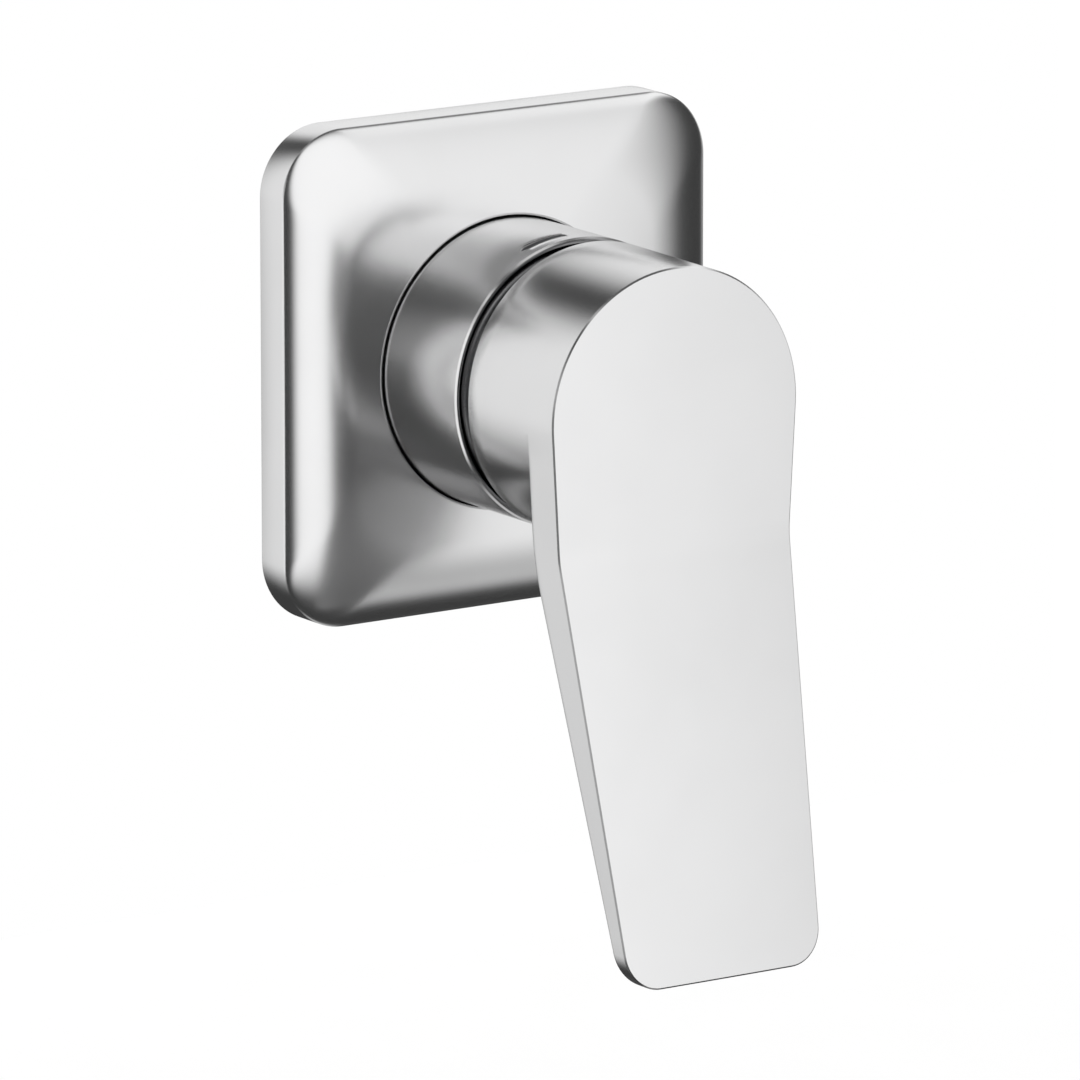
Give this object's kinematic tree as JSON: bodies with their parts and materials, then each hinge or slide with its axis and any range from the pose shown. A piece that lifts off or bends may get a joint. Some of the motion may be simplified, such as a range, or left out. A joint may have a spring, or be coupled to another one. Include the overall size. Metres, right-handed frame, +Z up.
{
  "type": "concealed single-lever shower mixer",
  "caption": "Wall-mounted concealed shower mixer: crowned square plate, round sleeve and flat leaning lever over a ceramic cartridge in a brass body.",
  "frame": {"origin": "centre of the wall plate, in the plane of the finished wall", "axes": "+Z up the wall, +Y into the wall, +X to the right seen from the front"},
  "size_m": [0.09, 0.112, 0.1325],
  "materials": {
    "chrome_plated_plate": "satin-bright chrome plate on brass",
    "chrome_plated_sleeve": "satin-bright chrome plate on brass",
    "chrome_plated_handle": "satin-bright chrome plate on a casting",
    "dome_chrome": "bright chrome plate in shade",
    "cast_brass": "blasted casting with machined faces",
    "turned_brass": "turned",
    "seal_rubber": "moulded nitrile rubber",
    "foam_rubber": "closed-cell foam",
    "fibre_seal": "pressed fibre",
    "housing_plastic": "moulded, fine matt",
    "driver_plastic": "moulded, fine matt",
    "glide_plastic": "smooth slip plastic",
    "limiter_plastic": "moulded",
    "disc_ceramic": "lapped alumina",
    "pin_steel": "ground stainless steel"
  },
  "bodies": {
    "body_and_trim": {"escutcheon_plate": "chrome_plated_plate", "wall_gasket": "foam_rubber", "plate_oring": "seal_rubber", "cover_sleeve": "chrome_plated_sleeve", "sleeve_oring": "seal_rubber", "dome_cap": "dome_chrome", "valve_body": "cast_brass", "outlet_plug": "turned_brass", "plug_seal": "fibre_seal", "cartridge_nut": "turned_brass", "cartridge_housing": "housing_plastic", "cartridge_base": "housing_plastic", "base_seals": "seal_rubber", "disc_seals": "seal_rubber", "fixed_disc": "disc_ceramic", "glide_ring": "glide_plastic"},
    "carrier": {"spindle_carrier": "driver_plastic", "pivot_pin": "pin_steel", "temperature_limiter": "limiter_plastic"},
    "lever": {"handle": "chrome_plated_handle", "spindle": "turned_brass", "grub_screw": "pin_steel", "screw_cap": "chrome_plated_handle"},
    "mixing_disc": {"disc_driver": "driver_plastic", "moving_disc": "disc_ceramic"}
  },
  "joints": [
    {"name": "temperature", "type": "hinge", "parent": "body_and_trim", "child": "carrier", "pos_m": [0, 0, 0], "axis": [0, -1, 0], "range_deg": [-50, 50]},
    {"name": "flow", "type": "hinge", "parent": "carrier", "child": "lever", "pos_m": [0, -0.01542, 0], "axis": [-1, 0, 0], "range_deg": [0, 22]},
    {"name": "disc_slide", "type": "slide", "parent": "carrier", "child": "mixing_disc", "axis": [0, 0, -1], "range_m": [0, 0.0034]}
  ],
  "couplings": [
    {"joint": "disc_slide", "follows": "flow", "m_per_rad": 0.00884}
  ]
}
